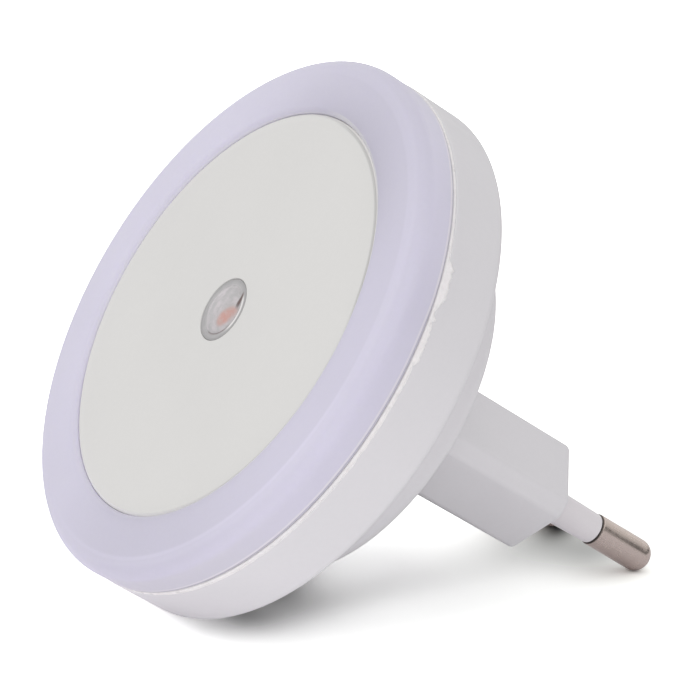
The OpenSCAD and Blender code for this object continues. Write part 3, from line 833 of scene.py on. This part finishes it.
# what the camera sees: a bright sweep with soft contact shadows under the rim and between the pins
look = None
for u, v, ru, rv, turned, depth in (
        (6.2, -36.4, 5.6, 4.0, -0.22, 0.62),     # under the rim, where it touches
        (-3.7, -28.5, 5.9, 12.6, 1.24, 0.97),    # behind the rim
        (7.0, -28.3, 5.0, 20.2, 0.25, 0.27),     # along the housing
        (0.8, 14.7, 8.0, 11.5, 0.83, 0.67),      # between the pins
        (-6.2, 10.2, 7.2, 18.4, 0.72, 0.48),     # far pin
        (-9.0, 15.9, 2.2, 6.2, 0.86, 0.95),      # far pin's tip
        (14.5, 5.9, 5.5, 38.0, 0.09, 0.19)):     # near pin
    fade = math_node(t, "MULTIPLY_ADD", pool(u, v, ru, rv, turned), -depth, 1.0)
    look = fade if look is None else math_node(t, "MULTIPLY", look, fade)
look = math_node(t, "MULTIPLY", look, 2.1)
look = math_node(t, "MULTIPLY", look, span(t, noise_tex(t, 30.0), 0.3, 0.7, 0.995, 1.0))
seen_floor = t.nodes.new("ShaderNodeBsdfDiffuse")
t.links.new(vmath(t, "SCALE", (0.966, 0.980, 0.957), scale=look), seen_floor.inputs["Color"])
# what lights the part: the floor's own bounce, a little stronger under it
bounce = t.nodes.new("ShaderNodeBsdfDiffuse")
path = t.nodes.new("ShaderNodeLightPath")
dim = math_node(t, "MULTIPLY_ADD", pool(16.0, -17.0, 20.0, 14.0), -0.36, 1.0)
t.links.new(scaled(t, mix(t, path.outputs["Is Glossy Ray"], (0.93, 0.925, 0.94), (0.69, 0.675, 0.70)), dim), bounce.inputs["Color"])
glow = t.nodes.new("ShaderNodeEmission")
t.links.new(mix(t, path.outputs["Is Glossy Ray"], (1.0, 0.985, 1.0), (0.0, 0.0, 0.0)), glow.inputs["Color"])
lift = math_node(t, "MULTIPLY_ADD", pool(34.0, -50.0, 32.0, 24.0), 0.16, math_node(t, "MULTIPLY", pool(95.0, -35.0, 65.0, 60.0), 0.40))
t.links.new(math_node(t, "MULTIPLY_ADD", pool(-10.0, -54.0, 16.0, 11.0), 0.75, lift), glow.inputs["Strength"])
under = t.nodes.new("ShaderNodeAddShader")
t.links.new(bounce.outputs["BSDF"], under.inputs[0])
t.links.new(glow.outputs["Emission"], under.inputs[1])
sort = t.nodes.new("ShaderNodeMixShader")
t.links.new(path.outputs["Is Camera Ray"], sort.inputs[0])
t.links.new(under.outputs["Shader"], sort.inputs[1])
t.links.new(seen_floor.outputs["BSDF"], sort.inputs[2])
clear = t.nodes.new("ShaderNodeBsdfTransparent")
geo = t.nodes.new("ShaderNodeNewGeometry")
pick = t.nodes.new("ShaderNodeMixShader")
t.links.new(geo.outputs["Backfacing"], pick.inputs[0])
t.links.new(sort.outputs["Shader"], pick.inputs[1])
t.links.new(clear.outputs["BSDF"], pick.inputs[2])
finish_shader(t, pick.outputs["Shader"])
bm = bmesh.new()
bmesh.ops.create_circle(bm, cap_ends=True, segments=64, radius=1.6)
floor = new_object("floor", bm, [m])
if floor.data.polygons[0].normal.z < 0:
    floor.data.flip_normals()
floor.matrix_world = Matrix.Translation(floor_n * floor_offset) @ floor_n.to_track_quat("Z", "Y").to_matrix().to_4x4()

world = bpy.data.worlds.new("studio")
scene.world = world
world.use_nodes = True
t = world.node_tree
t.nodes.clear()
direction = t.nodes.new("ShaderNodeTexCoord").outputs["Generated"]
height = vmath(t, "DOT_PRODUCT", direction, tuple(floor_n))
top = span(t, height, -0.1, 1.0, 0.0, 1.0, smooth=False)
key_dir = (right * -0.45 + up * 0.35 + back * 0.82).normalized()
key = math_node(t, "POWER", math_node(t, "MAXIMUM", vmath(t, "DOT_PRODUCT", direction, tuple(key_dir)), 0.0), 2.0)
side_dir = Vector((0.93, 0.12, 0.05)).normalized()
side = math_node(t, "POWER", math_node(t, "MAXIMUM", vmath(t, "DOT_PRODUCT", direction, tuple(side_dir)), 0.0), 2.0)
light = math_node(t, "ADD", math_node(t, "MULTIPLY_ADD", top, 0.23, 0.69), math_node(t, "MULTIPLY", key, 0.17))
light = math_node(t, "MULTIPLY_ADD", side, 0.23, light)
# the gap between the side panels and the top light, which only shows as a soft stripe in the bare metal
gap = math_node(t, "MULTIPLY", span(t, height, 0.0, 0.07), span(t, height, 0.25, 0.37, 1, 0))
gap_dir = (Vector((0.63, 0.53, 0.567)) - floor_n * Vector((0.63, 0.53, 0.567)).dot(floor_n)).normalized()
gap = math_node(t, "MULTIPLY", gap, span(t, vmath(t, "DOT_PRODUCT", direction, tuple(gap_dir)), 0.45, 0.8))
light = math_node(t, "MULTIPLY", light, math_node(t, "SUBTRACT", 1.0, math_node(t, "MULTIPLY", gap, 0.84)))
bg = t.nodes.new("ShaderNodeBackground")
t.links.new(light, bg.inputs["Strength"])
bg.inputs["Color"].default_value = (1, 1, 1, 1)
seen = t.nodes.new("ShaderNodeBackground")
seen.inputs["Color"].default_value = (1, 1, 1, 1)
path = t.nodes.new("ShaderNodeLightPath")
pick = t.nodes.new("ShaderNodeMixShader")
t.links.new(path.outputs["Is Camera Ray"], pick.inputs[0])
t.links.new(bg.outputs["Background"], pick.inputs[1])
t.links.new(seen.outputs["Background"], pick.inputs[2])
out = t.nodes.new("ShaderNodeOutputWorld")
t.links.new(pick.outputs["Shader"], out.inputs["Surface"])
